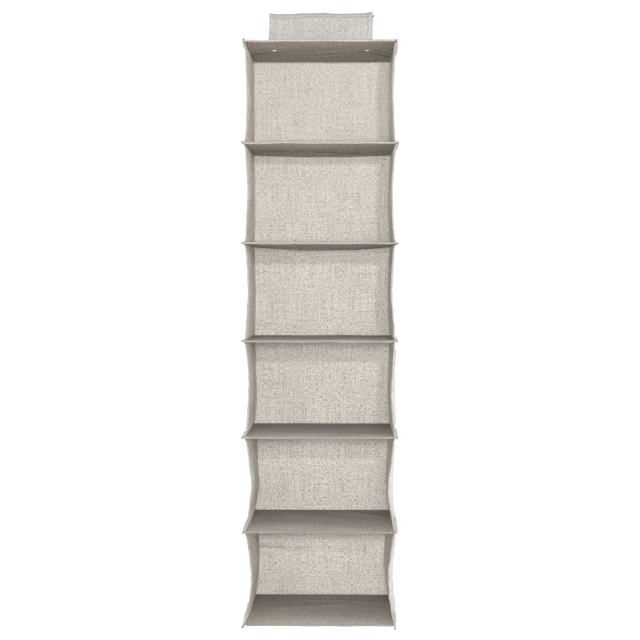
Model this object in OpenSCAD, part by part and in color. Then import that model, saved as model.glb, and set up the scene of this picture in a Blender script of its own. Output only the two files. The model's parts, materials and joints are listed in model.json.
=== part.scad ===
// Hanging fabric organizer: six open-fronted compartments under a rod strap.
// Millimetres. X runs across the front, -Y is the open front, +Z is up.
// The origin is on the axis of the closet rod, at the middle of the strap.

/* [Body] */
// Clear width between the two side walls
clear_w = 300; // [260:5:340]
// Depth from the front edge to the outer face of the back
body_d = 300; // [240:5:340]
// Mean distance from one shelf to the next
mean_pitch = 197.3; // [150:0.1:240]
// Extra height of each compartment over the one below it, as the load straightens it
pitch_step = 3.2; // [0:0.1:6]

/* [Fabric] */
// Thickness of a side wall or back wall
wall_t = 1.2; // [0.8:0.1:2]
// Thickness of the folded hem along the front of a side wall
hem_t = 2.2; // [2:0.1:3]
// Width of that hem
hem_w = 10; // [6:1:16]
// How far the seam allowance stands out beside each shelf
fin_w = 9; // [4:1:14]
// Thickness of the seam allowance
fin_t = 2; // [1:0.1:3]
// Inward sag of the top compartment's walls at mid-height
sag_top = 4; // [2:0.5:8]
// Added sag of each compartment below it
sag_step = 1.5; // [0:0.1:3]

/* [Shelves] */
// Overall thickness of a covered shelf
shelf_t = 3.8; // [3.4:0.1:6]
// Thickness of the cardboard stiffener inside it
board_t = 2.2; // [1.6:0.1:2.8]
// Cloth left around the stiffener at the front and sides
board_margin = 6; // [4:1:12]

/* [Strap] */
// Width of the strap that wraps the rod
strap_w = 216; // [120:2:260]
// Thickness of the strap
strap_t = 1.4; // [1:0.1:2.5]
// Radius of the closet rod
rod_r = 17.5; // [12:0.5:20]
// Height of the rod axis above the top panel
strap_rise = 59; // [59:1:90]
// Distance of each strap foot from the middle of the top panel
foot_y = 41; // [30:1:60]
// Length of the free rear flap
flap_len = 60; // [50:1:60]
// Length of the hook and loop tapes
tape_len = 30; // [15:1:30]
// Thickness of each tape
tape_t = 0.9; // [0.6:0.1:1.2]
// Distance between the two stitched bar tacks of the front foot
tack_span = 193; // [100:1:196]

/* [Hidden] */

$fn = 96;
LEFT = -1;
RIGHT = 1;
cloth = [0.80, 0.77, 0.73];
cloth_shade = [0.72, 0.69, 0.65];
cardboard = [0.66, 0.55, 0.42];
thread = [0.95, 0.94, 0.92];
tape = [0.86, 0.85, 0.83];

last = 6;                    // the lowest panel, counted from 0 at the top
seam_gap = 0.2;              // clearance between sewn pieces
slip_gap = 0.1;              // clearance around a stiffener in its sleeve
front_y = -body_d / 2;
back_y = body_d / 2;
outer_w = clear_w + 2 * wall_t;
top_z = -strap_rise;         // upper face of the top panel
pocket_t = board_t + 2 * slip_gap;

// Height of compartment i, its wall sag and the middle height of panel i
function pitch(i) = mean_pitch + pitch_step * ((last - 1) / 2 - i);
function sag(i) = sag_top + sag_step * i;
function panel_z(i) = i == 0 ? top_z - shelf_t / 2 : panel_z(i - 1) - pitch(i - 1);
function wall_top(i) = panel_z(i) - shelf_t / 2 - seam_gap;
function wall_foot(i) = panel_z(i + 1) + shelf_t / 2 + seam_gap;
function wall_crease(i) = (wall_top(i) + wall_foot(i)) / 2;

// The strap leaves the rod at a tangent. Points are given by n, the distance
// out from the rod axis across the strap, and u, the distance along the leg.
strap_mid_r = rod_r + strap_t / 2;
foot_dist = norm([foot_y, strap_rise]);
lean = acos(strap_mid_r / foot_dist) - atan(strap_rise / foot_y);
function leg_point(n, u) = [n * cos(lean) + u * sin(lean), n * sin(lean) - u * cos(lean)];
function leg_foot(n) = (n * sin(lean) - top_z - seam_gap) / cos(lean);

// ---- shelves -------------------------------------------------------------

// A cloth sleeve, open at the back, with its seam allowance on both sides
module shelf_cover(i) {
    color(cloth)
    translate([0, 0, panel_z(i)])
    difference() {
        union() {
            translate([-outer_w / 2, front_y, -shelf_t / 2])
                cube([outer_w, body_d, shelf_t]);
            translate([-outer_w / 2 - fin_w, front_y, -fin_t / 2])
                cube([outer_w + 2 * fin_w, body_d, fin_t]);
        }
        translate([-outer_w / 2 + board_margin, front_y + board_margin, -pocket_t / 2])
            cube([outer_w - 2 * board_margin, body_d, pocket_t]);
    }
}

// The stiffener that slides into the sleeve from the back
module shelf_board(i) {
    board_w = outer_w - 2 * board_margin - 2 * slip_gap;
    board_d = body_d - 2 * board_margin;
    color(cardboard)
    translate([-board_w / 2, front_y + board_margin + slip_gap, panel_z(i) - board_t / 2])
        cube([board_w, board_d, board_t]);
}

// ---- walls ---------------------------------------------------------------

// Outline of a wall of thickness t that sags inwards to its crease
module sagging_wall(i, t) {
    polygon([
        [0, wall_top(i)],
        [sag(i), wall_crease(i)],
        [0, wall_foot(i)],
        [t, wall_foot(i)],
        [t + sag(i), wall_crease(i)],
        [t, wall_top(i)]
    ]);
}

// One side wall: a panel folded inwards at mid-height, with a thick front hem
module side_wall(i, side) {
    wall_end = back_y - wall_t - seam_gap;
    color(cloth_shade)
    mirror([side == RIGHT ? 1 : 0, 0, 0])
    translate([-outer_w / 2, 0, 0])
    rotate([90, 0, 0]) {
        translate([0, 0, -wall_end])
            linear_extrude(height = wall_end - front_y)
                sagging_wall(i, wall_t);
        translate([0, 0, -front_y - hem_w])
            linear_extrude(height = hem_w)
                sagging_wall(i, hem_t);
    }
}

// The back wall: flat, and pulled in at mid-height by the side walls
module back_wall(i) {
    half_w = outer_w / 2;
    color(cloth)
    translate([0, back_y, 0])
    rotate([90, 0, 0])
    linear_extrude(height = wall_t)
    polygon([
        [-half_w, wall_top(i)],
        [-half_w + sag(i), wall_crease(i)],
        [-half_w, wall_foot(i)],
        [half_w, wall_foot(i)],
        [half_w - sag(i), wall_crease(i)],
        [half_w, wall_top(i)]
    ]);
}

// ---- rod strap -----------------------------------------------------------

// Extrudes an outline drawn in the Y-Z plane across a width centred on X = 0
module across(width) {
    translate([-width / 2, 0, 0])
    rotate([90, 0, 90])
    linear_extrude(height = width)
        children();
}

// Front leg and the arc over the rod, in one band
module strap_band() {
    reach = 2 * rod_r;
    inner = rod_r;
    outer = rod_r + strap_t;
    color(cloth)
    across(strap_w)
    union() {
        intersection() {
            difference() {
                circle(r = outer);
                circle(r = inner);
            }
            polygon([
                [0, 0],
                reach * [cos(lean), sin(lean)],
                [reach, reach],
                [-reach, reach],
                reach * [-cos(lean), sin(lean)]
            ]);
        }
        mirror([1, 0])
        polygon([
            leg_point(inner, 0),
            leg_point(outer, 0),
            leg_point(outer, leg_foot(outer)),
            leg_point(inner, leg_foot(inner))
        ]);
    }
}

// A flat strip that lies along the rear leg, between two distances out and along
module rear_strip(width, n_low, n_high, u_low, u_high) {
    across(width)
    polygon([
        leg_point(n_low, u_low),
        leg_point(n_high, u_low),
        leg_point(n_high, u_high),
        leg_point(n_low, u_high)
    ]);
}

// The free rear leg, which peels off the tab
module strap_flap() {
    color(cloth)
    rear_strip(strap_w, rod_r, rod_r + strap_t, seam_gap, flap_len);
}

tape_gap = 0.05;                        // clearance between a tape and its cloth
hook_n = rod_r - tape_gap;              // outer face of the hook tape
loop_n = hook_n - tape_t - tape_gap;    // outer face of the loop tape
tab_n = loop_n - tape_t - tape_gap;     // outer face of the rear tab
tape_edge = 2;                          // cloth left below and above the tapes
tape_end = flap_len - tape_edge;        // lower end of both tapes
tape_side = 8;                          // cloth left at each side of the tapes
tape_w = strap_w - 2 * tape_side;

// Hook tape, on the inner face of the flap
module hook_tape() {
    color(tape)
    rear_strip(tape_w, hook_n - tape_t, hook_n, tape_end - tape_len, tape_end);
}

// Loop tape, on the outer face of the rear tab
module loop_tape() {
    color(tape)
    rear_strip(tape_w, loop_n - tape_t, loop_n, tape_end - tape_len, tape_end);
}

// The tab sewn to the top panel, which the flap closes on
module strap_rear_tab() {
    tab_start = tape_end - tape_len - tape_edge;
    color(cloth)
    across(strap_w)
    polygon([
        leg_point(tab_n - strap_t, tab_start),
        leg_point(tab_n, tab_start),
        leg_point(tab_n, leg_foot(tab_n)),
        leg_point(tab_n - strap_t, leg_foot(tab_n - strap_t))
    ]);
}

// Bar tacks under the top panel, at the two ends of the front foot
module bar_tacks() {
    tack = [7, 1.6, 0.5];
    color(thread)
    for (side = [LEFT, RIGHT])
        translate([side * tack_span / 2, -foot_y, top_z - shelf_t - tape_gap - tack[2] / 2])
            cube(tack, center = true);
}

// ---- assembly ------------------------------------------------------------

shelf_cover(0);  // top_cover
shelf_board(0);  // top_board
shelf_cover(1);  // shelf_1_cover
shelf_board(1);  // shelf_1_board
shelf_cover(2);  // shelf_2_cover
shelf_board(2);  // shelf_2_board
shelf_cover(3);  // shelf_3_cover
shelf_board(3);  // shelf_3_board
shelf_cover(4);  // shelf_4_cover
shelf_board(4);  // shelf_4_board
shelf_cover(5);  // shelf_5_cover
shelf_board(5);  // shelf_5_board
shelf_cover(last);  // base_cover
shelf_board(last);  // base_board
side_wall(0, LEFT);  // left_side_1
side_wall(1, LEFT);  // left_side_2
side_wall(2, LEFT);  // left_side_3
side_wall(3, LEFT);  // left_side_4
side_wall(4, LEFT);  // left_side_5
side_wall(5, LEFT);  // left_side_6
side_wall(0, RIGHT);  // right_side_1
side_wall(1, RIGHT);  // right_side_2
side_wall(2, RIGHT);  // right_side_3
side_wall(3, RIGHT);  // right_side_4
side_wall(4, RIGHT);  // right_side_5
side_wall(5, RIGHT);  // right_side_6
back_wall(0);  // back_1
back_wall(1);  // back_2
back_wall(2);  // back_3
back_wall(3);  // back_4
back_wall(4);  // back_5
back_wall(5);  // back_6
strap_band();
strap_flap();
strap_rear_tab();
hook_tape();
loop_tape();
bar_tacks();
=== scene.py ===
"""Looks of the hanging fabric organizer: linen cloth, seams, stitches, strap, light and camera.

All lengths are in metres, in the row frame: X across the front, -Y out of the open front, +Z up.
"""
import json
import math

import bpy
import numpy as np
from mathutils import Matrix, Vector


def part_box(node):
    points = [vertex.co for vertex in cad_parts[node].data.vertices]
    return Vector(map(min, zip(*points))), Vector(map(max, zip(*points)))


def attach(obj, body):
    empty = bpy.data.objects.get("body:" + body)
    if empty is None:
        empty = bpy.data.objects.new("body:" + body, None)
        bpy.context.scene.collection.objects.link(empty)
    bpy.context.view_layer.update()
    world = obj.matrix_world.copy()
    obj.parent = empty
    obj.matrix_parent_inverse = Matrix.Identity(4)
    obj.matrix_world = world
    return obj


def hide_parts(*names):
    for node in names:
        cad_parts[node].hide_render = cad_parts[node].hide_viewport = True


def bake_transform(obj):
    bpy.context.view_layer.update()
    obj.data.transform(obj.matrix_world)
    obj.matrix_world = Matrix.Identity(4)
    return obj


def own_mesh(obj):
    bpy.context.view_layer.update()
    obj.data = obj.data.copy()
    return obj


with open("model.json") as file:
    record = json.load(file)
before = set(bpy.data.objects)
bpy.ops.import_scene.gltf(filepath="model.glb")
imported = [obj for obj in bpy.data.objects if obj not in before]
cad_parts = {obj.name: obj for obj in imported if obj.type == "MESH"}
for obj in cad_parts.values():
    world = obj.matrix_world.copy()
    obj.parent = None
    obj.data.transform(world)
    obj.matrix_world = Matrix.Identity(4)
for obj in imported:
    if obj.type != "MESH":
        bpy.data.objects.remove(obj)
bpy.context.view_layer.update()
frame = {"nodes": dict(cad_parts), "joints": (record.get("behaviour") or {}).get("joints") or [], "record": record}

# ---- sizes taken from the frame ----

MM = 0.001
PANELS = ["top", "shelf_1", "shelf_2", "shelf_3", "shelf_4", "shelf_5", "base"]
LEFT, RIGHT = -1, 1
SIDE_NAMES = {LEFT: "left", RIGHT: "right"}


def low(node):
    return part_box(node)[0]


def high(node):
    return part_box(node)[1]


COVERS = [name + "_cover" for name in PANELS]
PANEL_Z = [(low(c)[2] + high(c)[2]) / 2 for c in COVERS]
PANEL_T = high(COVERS[0])[2] - low(COVERS[0])[2]
FRONT_Y = low(COVERS[0])[1]
BACK_Y = high(COVERS[0])[1]
DEPTH = BACK_Y - FRONT_Y
HALF_W = high("back_1")[0]
FIN_W = high(COVERS[0])[0] - HALF_W
WALL_T = high("back_1")[1] - low("back_1")[1]
BOARD_END_Y = high("top_board")[1]
BOARD_T = high("top_board")[2] - low("top_board")[2]
HEM_T = 2.2 * MM
HEM_W = 10 * MM

JOINTS = {joint["name"]: joint for joint in frame["joints"]}
HINGE = JOINTS["strap_open"]["pos_m"]
STRAP_W = high("strap_band")[0] - low("strap_band")[0]
ROD_R = next(m["dims"]["r_mm"] for m in frame["record"]["mounts"] if m["name"] == "rod_loop") * MM
STRAP_OUT = math.hypot(HINGE[1], HINGE[2])
STRAP_T = STRAP_OUT - ROD_R
STRAP_MID = (STRAP_OUT + ROD_R) / 2
LEAN = math.atan2(HINGE[2], HINGE[1])
TOP_Z = PANEL_Z[0] + PANEL_T / 2
BASE_Z = PANEL_Z[-1] - PANEL_T / 2


def sag_of(level):
    """How far the side walls of a compartment are pulled in at mid-height."""
    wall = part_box(f"right_side_{level + 1}")
    return wall[1][0] - wall[0][0] - HEM_T


# ---- smooth random fields ----


def smooth(t):
    """An eased step from 0 to 1."""
    t = np.clip(t, 0, 1)
    return t * t * (3 - 2 * t)


def bell(x, width):
    """1 where x is 0, fading to both sides over about width."""
    return np.exp(-((x / width) ** 2))


def ripples(seed, u, v, size, count=9):
    """A smooth random field of about unit height, whose waves are about size across."""
    rng = np.random.default_rng(seed)
    field = np.zeros(np.broadcast(u, v).shape)
    for _ in range(count):
        angle = rng.uniform(0, math.tau)
        wave = math.tau / (size * rng.uniform(0.7, 1.6))
        phase = rng.uniform(0, math.tau)
        field = field + np.sin(wave * (u * math.cos(angle) + v * math.sin(angle)) + phase)
    return field / math.sqrt(count / 2)


def two_ripples(seed, u, v, large, small, step=1):
    """Large and small ripples together, each given by its height in mm and its size."""
    return (large[0] * MM * ripples(seed, u, v, large[1])
            + small[0] * MM * ripples(seed + step, u, v, small[1]))


def ridge(x, y, start, end, width):
    """A soft fold line from start to end: 1 on the line, fading to its sides and its ends."""
    ax, ay = start
    dx, dy = end[0] - ax, end[1] - ay
    length2 = dx * dx + dy * dy
    t = ((x - ax) * dx + (y - ay) * dy) / length2
    off = np.hypot(x - ax - np.clip(t, 0, 1) * dx, y - ay - np.clip(t, 0, 1) * dy)
    return bell(off, width) * smooth(t * 8 + 1) * smooth((1 - t) * 4 + 0.6)


# ---- mesh building ----

SHARP_FROM = math.radians(50)


def place_object(name, data):
    """A new object in the scene for mesh, lamp or camera data."""
    obj = bpy.data.objects.new(name, data)
    bpy.context.scene.collection.objects.link(obj)
    return obj


class Build:
    """Collects vertices, faces, weave coordinates, painted shade marks with the darker fin ends, and material
    numbers of one piece.
    """

    def __init__(self):
        self.points, self.faces, self.weave, self.slots, self.painted_shade_and_dark_ends = [], [], [], [], []
        self.count = 0

    def add(self, points, weave, faces, slot=0, painted_shade_and_dark_ends=0.0):
        points = np.asarray(points, float).reshape(-1, 3)
        self.points.append(points)
        self.painted_shade_and_dark_ends.append(np.clip(np.zeros(len(points)) + np.ravel(painted_shade_and_dark_ends), 0, 1))
        self.weave.append(np.asarray(weave, float).reshape(-1, 2))
        self.faces.extend([tuple(int(i) + self.count for i in f) for f in faces])
        self.slots.extend(slot if isinstance(slot, list) else [slot] * len(faces))
        self.count += len(points)

    def piece(self, name, materials):
        mesh = bpy.data.meshes.new(name)
        mesh.from_pydata(np.vstack(self.points).tolist(), [], self.faces)
        for material in materials:
            mesh.materials.append(material)
        mesh.polygons.foreach_set("material_index", self.slots)
        layer = mesh.uv_layers.new(name="weave")
        corners = np.zeros(len(mesh.loops), int)
        mesh.loops.foreach_get("vertex_index", corners)
        layer.data.foreach_set("uv", np.vstack(self.weave)[corners].ravel())
        # Painted shade: the crease attribute dims the colour in folds, along seams and in corners, where shade
        # falls; it also darkens the fins' front ends.
        painted_shade_and_dark_ends_layer = mesh.attributes.new("crease", "FLOAT", "POINT")
        painted_shade_and_dark_ends_layer.data.foreach_set("value", np.concatenate(self.painted_shade_and_dark_ends))
        mesh.validate()
        mesh.shade_smooth()
        mesh.set_sharp_from_angle(angle=SHARP_FROM)
        return place_object(name, mesh)


def fasten(obj, body, slot, *nodes):
    """Let a piece ride on a body and stand for the CAD nodes given; its slot is not used."""
    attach(obj, body)
    if nodes:
        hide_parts(*nodes)


def grid_faces(rows, cols, flip=False, start=0):
    """Quads over a grid of rows by cols points stored row by row."""
    i = np.arange(rows - 1)[:, None] * cols + np.arange(cols - 1)[None, :] + start
    quads = np.stack([i, i + cols, i + cols + 1, i + 1], -1).reshape(-1, 4)
    return (quads[:, ::-1] if flip else quads).tolist()


def tube_faces(rings, sides, flip=False):
    """Faces of a closed tube whose points go ring by ring, with a cap at both ends."""
    faces = grid_faces(rings, sides)
    for first in range(0, (rings - 1) * sides, sides):
        last = first + sides - 1
        faces.append([last, last + sides, first + sides, first])
    faces += [list(range(sides)), list(range(rings * sides - 1, (rings - 1) * sides - 1, -1))]
    return [face[::-1] for face in faces] if flip else faces


def surface_normals(points):
    """Unit normals of a surface given as a grid of points (rows, cols, 3)."""
    normal = np.cross(np.gradient(points, axis=0), np.gradient(points, axis=1))
    return normal / (np.linalg.norm(normal, axis=2, keepdims=True) + 1e-12)


def face_slots(faces, *choices):
    """For each face, the slot of the first mask that holds at all its points, or slot 0."""
    return [next((slot for mask, slot in choices if all(mask[i] for i in face)), 0) for face in faces]


def add_sheet(build, middle, thickness, weave, slot=0, painted_shade_and_dark_ends=0.0):
    """A closed cloth sheet, from its middle surface (rows, cols, 3). Returns its two faces."""
    rows, cols = middle.shape[:2]
    reach = surface_normals(middle) * np.broadcast_to(thickness, (rows, cols))[..., None] / 2
    front, back = middle + reach, middle - reach
    faces = grid_faces(rows, cols) + grid_faces(rows, cols, True, rows * cols)
    index = np.arange(rows * cols).reshape(rows, cols)
    ring = np.concatenate([index[0], index[1:, -1], index[-1, -2::-1], index[-2:0:-1, 0]])
    for a, b in zip(ring, np.roll(ring, -1)):
        faces.append((a, b, b + rows * cols, a + rows * cols))
    marks_twice = np.stack([np.broadcast_to(painted_shade_and_dark_ends, (rows, cols))] * 2)
    build.add(np.stack([front, back]), np.stack([weave, weave]), faces, slot, marks_twice)
    return front, back


def rounded(distance, radius):
    """Share of the full thickness at a distance from a free edge, for a rounded rim."""
    t = np.clip(distance / radius, 0.0, 1.0)
    return 0.25 + 0.75 * np.sqrt(1 - (1 - t) ** 2)


def edge_spaced(start, end, count, rim=2 * MM):
    """Positions from start to end, with extra ones close to both ends for a rounded rim."""
    sign = 1 if end > start else -1
    near = np.array([0, 0.12, 0.35, 0.7]) * rim * sign
    inner = np.linspace(start + rim * sign, end - rim * sign, count)
    return np.concatenate([start + near, inner, (end - near)[::-1]])


def tube_points(centres, radii, out, across, sides):
    """Points of a tube ring by ring: round each centre, with its radius along out and across."""
    turns = math.tau * np.arange(sides)[:, None] / sides
    rim = np.cos(turns) * out + np.sin(turns) * across
    return (centres[:, None, :] + radii[:, :, None] * rim).reshape(-1, 3)


def add_threads(build, starts, ends, lifts, radius, slot, sides=5, rings=5):
    """Short stitches that dive into the cloth at both ends: arrays of starts, ends and outward lifts."""
    share = np.linspace(0, 1, rings)[:, None]
    arch = np.sin(math.pi * share)
    faces = tube_faces(rings, sides, flip=True)
    for a, b, lift in zip(starts, ends, np.asarray(lifts, float)):
        along = (b - a) / np.linalg.norm(b - a)
        out = lift - along * (lift @ along)
        rise = np.linalg.norm(out)
        out = out / rise
        centres = a + (b - a) * share + out * (rise * arch - 0.4 * radius)
        points = tube_points(centres, radius * (0.55 + 0.45 * arch), out, np.cross(along, out), sides)
        build.add(points, np.zeros((len(points), 2)), faces, slot)


def run_along(points):
    """Distance of each point from the first one, along the line through all of them."""
    steps = np.linalg.norm(np.diff(points, axis=0), axis=1)
    return np.concatenate([[0], np.cumsum(steps)])


def stitch_row(build, line, normals, slot, pitch=3.4 * MM, length=2.5 * MM, radius=0.24 * MM):
    """A row of lockstitches along a polyline that lies on a surface with those normals."""
    run = run_along(line)
    count = int(run[-1] / pitch)
    begin = (np.arange(count) + 0.5) * pitch - length / 2

    def at(values, where):
        return np.stack([np.interp(where, run, values[:, k]) for k in range(3)], 1)

    lifts = at(normals, begin + length / 2) * radius * 0.9
    add_threads(build, at(line, begin), at(line, begin + length), lifts, radius, slot)


def nearest(values, place):
    """Index of the value nearest to a place."""
    return int(np.argmin(np.abs(values - place)))


def stitch_both(build, upper, under, line):
    """The same row of stitches on both faces of a sheet, along one line of its grid."""
    stitch_row(build, upper[line], surface_normals(upper)[line], 1)
    stitch_row(build, under[line], -surface_normals(under)[line], 1)


# ---- materials ----


class Graph:
    """Short-hand for wiring the nodes of a material or a world."""

    def __init__(self, owner):
        self.owner = owner
        owner.use_nodes = True
        self.tree = owner.node_tree
        self.tree.nodes.clear()

    def node(self, kind, inputs=None, **settings):
        made = self.tree.nodes.new(kind)
        for key, value in settings.items():
            setattr(made, key, value)
        for key, value in (inputs or {}).items():
            if isinstance(value, bpy.types.NodeSocket):
                self.tree.links.new(value, made.inputs[key])
            else:
                made.inputs[key].default_value = value
        return made

    def math(self, operation, a, b=0.0, c=0.0):
        return self.node("ShaderNodeMath", {0: a, 1: b, 2: c}, operation=operation).outputs[0]

    def noise(self, vector, scale=1.0, detail=2.0, rough=0.5):
        inputs = {"Vector": vector, "Scale": scale, "Detail": detail, "Roughness": rough}
        return self.node("ShaderNodeTexNoise", inputs).outputs["Fac"]

    def patches(self, vector, x, y, detail=2.0, rough=0.5):
        """Noise whose patches are about x by y large."""
        inputs = {0: vector, 1: (1 / x, 1 / y, 1.0)}
        stretched = self.node("ShaderNodeVectorMath", inputs, operation="MULTIPLY").outputs[0]
        return self.noise(stretched, detail=detail, rough=rough)

    def ramp(self, value, stops):
        made = self.node("ShaderNodeValToRGB", {"Fac": value})
        band = made.color_ramp
        while len(band.elements) < len(stops):
            band.elements.new(0.5)
        for element, (place, colour) in zip(band.elements, stops):
            element.position = place
            element.color = (*colour, 1.0)
        return made.outputs["Color"]

    def tinted(self, colour, tint, share=1.0):
        """The colour multiplied by a tint, which counts by a share from 0 to 1."""
        inputs = {0: share, 6: colour, 7: tint}
        return self.node("ShaderNodeMix", inputs, data_type="RGBA", blend_type="MULTIPLY").outputs[2]

    def dimmed(self, colour, share):
        """The colour times a share from 0 to 1."""
        grey = self.node("ShaderNodeCombineColor", {0: share, 1: share, 2: share})
        return self.tinted(colour, grey.outputs[0])

    def by_camera_ray(self, unseen, seen, share=None):
        """A shader that is another one where the camera looks straight at it, by a share."""
        direct = self.node("ShaderNodeLightPath").outputs["Is Camera Ray"]
        direct = direct if share is None else self.math("MULTIPLY", direct, share)
        return self.node("ShaderNodeMixShader", {0: direct, 1: unseen.outputs[0], 2: seen.outputs[0]})

    def finish(self, shader, kind="ShaderNodeOutputMaterial"):
        self.tree.links.new(shader.outputs[0], self.node(kind).inputs["Surface"])
        return self.owner

    def surface(self, colour, height, strength, distance, look):
        """Finish a material: a surface of that colour, with its relief from a height."""
        bump = self.node("ShaderNodeBump", {"Height": height, "Strength": strength, "Distance": distance})
        inputs = {"Base Color": colour, "Normal": bump.outputs[0], **look}
        return self.finish(self.node("ShaderNodeBsdfPrincipled", inputs))


def material_graph(name):
    return Graph(bpy.data.materials.new(name))


THREAD_PITCH = 0.95 * MM
SLUB_WIDTH = 1.5 * MM
SLUB_LENGTH = 7 * MM
STREAK_WIDTH = 2.6 * MM
STREAK_LENGTH = 80 * MM
FLECK_SIZE = 2.1 * MM
BLOTCH_SIZE = 70 * MM
PATCH_SIZE = 20 * MM


# The cloth's shades, from dark flecks to bleached threads, and where they come in the range of tones
SHADES = [(0.0, (0.25, 0.210, 0.160)), (0.22, (0.41, 0.376, 0.330)),
          (0.50, (0.553, 0.524, 0.484)), (0.85, (0.69, 0.673, 0.645))]
BLOTCHES = [(0.3, (0.62, 0.60, 0.57)), (0.7, (1.0, 1.0, 1.0))]
WARM_TO_COOL = [(0.38, (1.0, 0.983, 0.955)), (0.62, (0.975, 0.983, 0.99))]


def thread_height(g, place, other, offset):
    """Height of the threads that run one way in a plain weave: over one crossing, under the next."""
    index = g.math("FLOOR", place)
    bulge = g.math("ABSOLUTE", g.math("SINE", g.math("MULTIPLY", place, math.pi)))
    phase = g.math("MULTIPLY", g.math("ADD", g.math("ADD", other, index), offset), math.pi)
    wave = g.math("MULTIPLY_ADD", g.math("SINE", phase), 0.5, 0.5)
    return g.math("MULTIPLY", bulge, wave)


def weave_height(g, uv):
    """Height of a slightly uneven plain weave: 0 between its threads, 1 on top of them."""
    warped = g.patches(uv, 14 * MM, 14 * MM, detail=1.0)
    shift = g.math("MULTIPLY", g.math("SUBTRACT", warped, 0.5), 1.1 * MM)
    parts = g.node("ShaderNodeSeparateXYZ", {0: uv})
    across, along = (g.math("DIVIDE", g.math("ADD", parts.outputs[i], shift), THREAD_PITCH) for i in (0, 1))
    return g.math("MAXIMUM", thread_height(g, across, along, 0.0), thread_height(g, along, across, 1.0))


def linen(name, tone=1.0, contrast=1.0, relief=0.35, sheen=0.1, grain=1.0, painted_shade_by_depth=None, tint=(1.0, 1.0, 1.0)):
    """Greige plain-weave cloth with slubs and dark flecks, from weave coordinates in metres.

    tone scales the brightness, contrast the flecks, grain the size of the slubs. The depth fade is the share of
    brightness at the back and at the front of a shelf: painted shade, darker at the back and lighter at the front.
    """
    g = material_graph(name)
    uv = g.node("ShaderNodeUVMap", uv_map="weave").outputs[0]
    height = weave_height(g, uv)
    wide, long = SLUB_WIDTH * grain, SLUB_LENGTH * grain
    slub_up = g.patches(uv, wide, long, rough=0.6)
    slub_across = g.patches(uv, long, wide, rough=0.6)
    fleck = g.patches(uv, FLECK_SIZE * grain, FLECK_SIZE * grain, detail=1.0)
    fine = g.patches(uv, THREAD_PITCH, THREAD_PITCH, rough=0.7)
    long_up = g.patches(uv, STREAK_WIDTH, STREAK_LENGTH, detail=1.0)
    long_across = g.patches(uv, STREAK_LENGTH, STREAK_WIDTH, detail=1.0)
    tones = g.math("MULTIPLY", slub_up, 0.26)
    weights = ((slub_across, 0.18), (fleck, 0.28), (fine, 0.12), (long_up, 0.09), (long_across, 0.07))
    for part, weight in weights:
        tones = g.math("ADD", tones, g.math("MULTIPLY", part, weight))
    tones = g.math("MULTIPLY_ADD", g.math("SUBTRACT", tones, 0.5), 3.9 * contrast, 0.5)
    shades = [(place, tuple(tone * c * t for c, t in zip(shade, tint))) for place, shade in SHADES]
    colour = g.ramp(tones, shades)
    blotch = g.patches(uv, BLOTCH_SIZE, BLOTCH_SIZE, detail=3.0)
    colour = g.tinted(colour, g.ramp(blotch, BLOTCHES), 0.16)
    patch = g.patches(uv, PATCH_SIZE, PATCH_SIZE)
    colour = g.tinted(colour, g.ramp(patch, WARM_TO_COOL))
    # Painted shade: the colour darkens between the threads, where the weave lies low
    colour = g.dimmed(colour, g.math("MULTIPLY_ADD", height, 0.35, 0.74))
    # Painted shade: the crease attribute darkens the colour in folds, seams and corners.
    painted_shade_and_dark_ends = g.node("ShaderNodeAttribute", attribute_name="crease").outputs["Fac"]
    colour = g.dimmed(colour, g.math("SUBTRACT", 1.0, g.math("MULTIPLY", painted_shade_and_dark_ends, 0.55)))
    # Painted shade: the colour darkens towards the back of a shelf and brightens towards its front.
    if painted_shade_by_depth:
        place = g.node("ShaderNodeSeparateXYZ", {0: g.node("ShaderNodeTexCoord").outputs["Object"]})
        depth = {"Value": place.outputs[1], "From Min": BACK_Y, "From Max": FRONT_Y,
                 "To Min": painted_shade_by_depth[0], "To Max": painted_shade_by_depth[1]}
        colour = g.dimmed(colour, g.node("ShaderNodeMapRange", depth).outputs[0])
    fuzz = g.patches(uv, 0.35 * MM, 0.35 * MM)
    slub = g.math("MAXIMUM", slub_up, slub_across)
    relief_height = g.math("ADD", height, g.math("MULTIPLY", g.math("ADD", fuzz, slub), 0.45))
    look = {"Roughness": g.math("MULTIPLY_ADD", fleck, 0.2, 0.78), "Specular IOR Level": 0.2,
            "Sheen Weight": sheen, "Sheen Roughness": 0.6, "Sheen Tint": (0.95, 0.93, 0.90, 1.0)}
    return g.surface(colour, relief_height, relief, 0.25 * MM, look)


def twisted_thread(name, colour):
    """Sewing thread with a fine twist."""
    g = material_graph(name)
    place = g.node("ShaderNodeTexCoord").outputs["Object"]
    twist = g.noise(place, scale=1 / (0.4 * MM), detail=1.0)
    shade = tuple(0.72 * c for c in colour)
    tone = g.ramp(twist, [(0.35, shade), (0.65, colour)])
    look = {"Roughness": 0.55, "Sheen Weight": 0.3, "Sheen Roughness": 0.4}
    return g.surface(tone, twist, 0.5, 0.1 * MM, look)


def tape_pile(name, colour, pitch, depth, rough):
    """Hook or loop tape: rows of small tufts over a woven ground."""
    g = material_graph(name)
    uv = g.node("ShaderNodeUVMap", uv_map="weave").outputs[0]
    cells = g.node("ShaderNodeTexVoronoi", {"Vector": uv, "Scale": 1 / pitch, "Randomness": 0.35})
    tufts = g.math("SUBTRACT", 1.0, g.math("MULTIPLY", cells.outputs["Distance"], 1.4))
    fibre = g.noise(uv, scale=1 / (0.3 * MM), detail=2.0)
    height = g.math("ADD", tufts, g.math("MULTIPLY", fibre, 0.5))
    # Painted shade: the tufts darken towards their roots
    tone = g.ramp(height, [(0.25, tuple(0.5 * c for c in colour)), (0.95, colour)])
    return g.surface(tone, height, 0.8, depth, {"Roughness": rough, "Sheen Weight": 0.3})


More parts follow.
